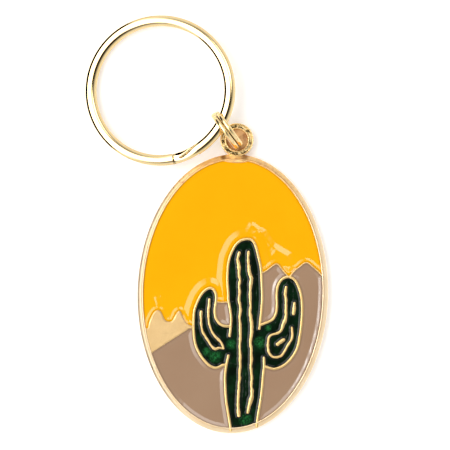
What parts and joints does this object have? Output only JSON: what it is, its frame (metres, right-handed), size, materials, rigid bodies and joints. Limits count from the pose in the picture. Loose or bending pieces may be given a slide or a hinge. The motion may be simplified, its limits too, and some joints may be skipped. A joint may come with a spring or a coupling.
{
  "type": "keychain",
  "caption": "Oval struck metal medallion with enamel cactus scene, hung by its eye from a small double-wound ring on a large split key ring.",
  "frame": {"origin": "centre of the medallion's flat back, which lies on the table", "axes": "+Z out of the medallion's face, +Y along its length toward the eye, +X to the right seen from the front"},
  "size_m": [0.0412, 0.0692, 0.0072],
  "materials": {
    "struck_gold": "pale gold plate, satin, polished on the raised lines",
    "eye_gold": "pale gold plate, polished beads and a grained groove",
    "connector_gold": "pale gold plate, polished",
    "ring_gold": "pale gold plate, polished",
    "yellow_enamel": "glossy soft enamel",
    "brown_enamel": "glossy soft enamel",
    "green_enamel": "glossy translucent dark enamel"
  },
  "bodies": {
    "medallion": {"medallion_plate": "struck_gold", "eye_ring": "eye_gold", "yellow_sky_enamel": "yellow_enamel", "inner_hill_enamel": "brown_enamel", "right_hill_enamel": "brown_enamel", "left_hill_enamel": "brown_enamel", "arm_gap_enamel": "brown_enamel", "cactus_enamel": "green_enamel"},
    "connector": {"connector_ring": "connector_gold"},
    "key_ring": {"split_ring": "ring_gold"}
  },
  "joints": [
    {"name": "connector_swing", "type": "hinge", "parent": "medallion", "child": "connector", "pos_m": [-0.00156, 0.0271, 0.00155], "axis": [-0.788, -0.6157, 0], "range_deg": [-6, 120]},
    {"name": "key_ring_swing", "type": "hinge", "parent": "connector", "child": "key_ring", "pos_m": [-0.00223, 0.02888, 0.0038], "axis": [0.3987, 0.9171, 0], "range_deg": [-10, 180]}
  ]
}
